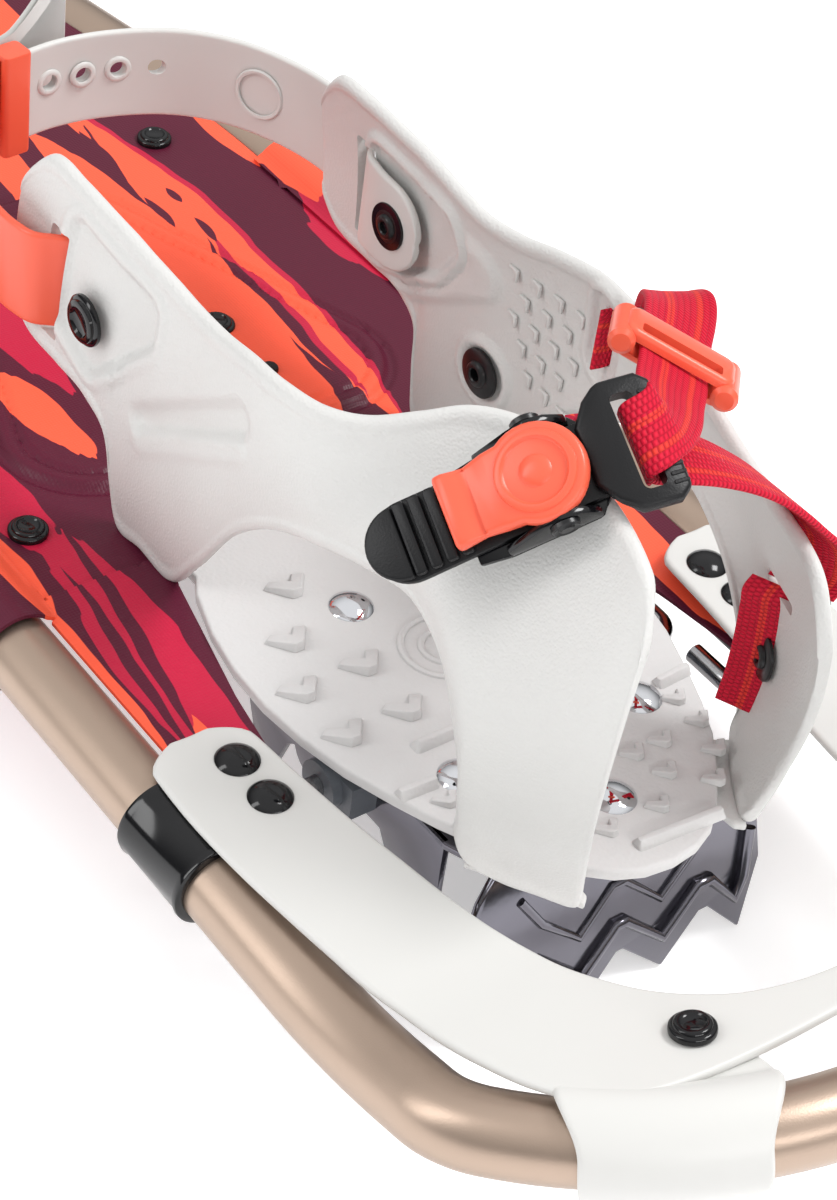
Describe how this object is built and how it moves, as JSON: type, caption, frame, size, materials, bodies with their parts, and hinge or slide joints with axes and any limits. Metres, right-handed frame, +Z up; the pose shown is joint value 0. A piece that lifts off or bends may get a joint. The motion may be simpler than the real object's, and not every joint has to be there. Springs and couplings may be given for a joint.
{
  "type": "snowshoe",
  "caption": "Snowshoe with tube frame, printed deck, pivoting binding with side wings and ladder buckle, heel strap and steel crampons.",
  "frame": {"origin": "centre of the bounding box on the floor plane", "axes": "+Y towards the toe, +Z up, +X towards the wearer's right, the outer side of this right shoe"},
  "size_m": [0.2064, 0.6349, 0.1749],
  "materials": {
    "tube": "satin anodised champagne",
    "deck": "coated printed sheet",
    "black_plastic": "gloss",
    "white_tpu": "fine grain",
    "steel_rod": "bright",
    "crampon_steel": "gloss",
    "footbed_tpu": "fine grain",
    "chrome": "polished",
    "grey_plastic": "moulded",
    "coral_tpu": "satin",
    "black_steel": "satin",
    "red_webbing": "ribbed weave",
    "black_rubber": "matte ribbed"
  },
  "bodies": {
    "shoe": {"frame_tube": "tube", "deck": "deck", "deck_rivets": "black_plastic", "heel_tie": "black_plastic", "nose_strap": "white_tpu", "nose_strap_rivets": "black_plastic", "lug_rivets": "black_plastic", "toe_cord_band_outer": "black_plastic", "toe_cord_band_inner": "black_plastic", "d_ring_outer": "steel_rod", "d_ring_inner": "steel_rod", "heel_crampon": "crampon_steel", "heel_crampon_rivets": "black_plastic"},
    "binding": {"footbed": "footbed_tpu", "footbed_rivets": "chrome", "toe_crampon": "crampon_steel", "bush_outer": "grey_plastic", "bush_inner": "grey_plastic", "wing_outer": "white_tpu", "wing_inner": "white_tpu", "heel_strap": "white_tpu", "side_strap": "coral_tpu", "wing_rivets": "black_plastic", "wing_screws": "black_steel", "webbing_upper": "red_webbing", "webbing_lower": "red_webbing", "webbing_patch": "red_webbing", "buckle_base": "black_plastic", "buckle_rivets": "black_steel", "lever_pin": "black_steel"},
    "lever": {"buckle_lever": "coral_tpu"},
    "ladder": {"ladder_strap": "black_rubber"},
    "glide": {"tri_glide": "coral_tpu"},
    "keeper": {"heel_keeper": "coral_tpu"}
  },
  "joints": [
    {"name": "binding_pivot", "type": "hinge", "parent": "shoe", "child": "binding", "pos_m": [0, 0.152, 0.041], "axis": [-1, 0, 0], "range_deg": [0, 34]},
    {"name": "lever_hinge", "type": "hinge", "parent": "binding", "child": "lever", "pos_m": [0.03051, 0.18797, 0.15567], "axis": [-0.1631, -0.886, 0.434], "range_deg": [0, 24]},
    {"name": "ladder_slide", "type": "slide", "parent": "binding", "child": "ladder", "axis": [0.7556, -0.395, -0.5225], "range_m": [0, 0.006]},
    {"name": "glide_slide", "type": "slide", "parent": "binding", "child": "glide", "axis": [0.7041, 0.6871, 0.1793], "range_m": [-0.004, 0.004]},
    {"name": "keeper_slide", "type": "slide", "parent": "binding", "child": "keeper", "axis": [0.9945, 0.1045, 0], "range_m": [0, 0.002]}
  ]
}
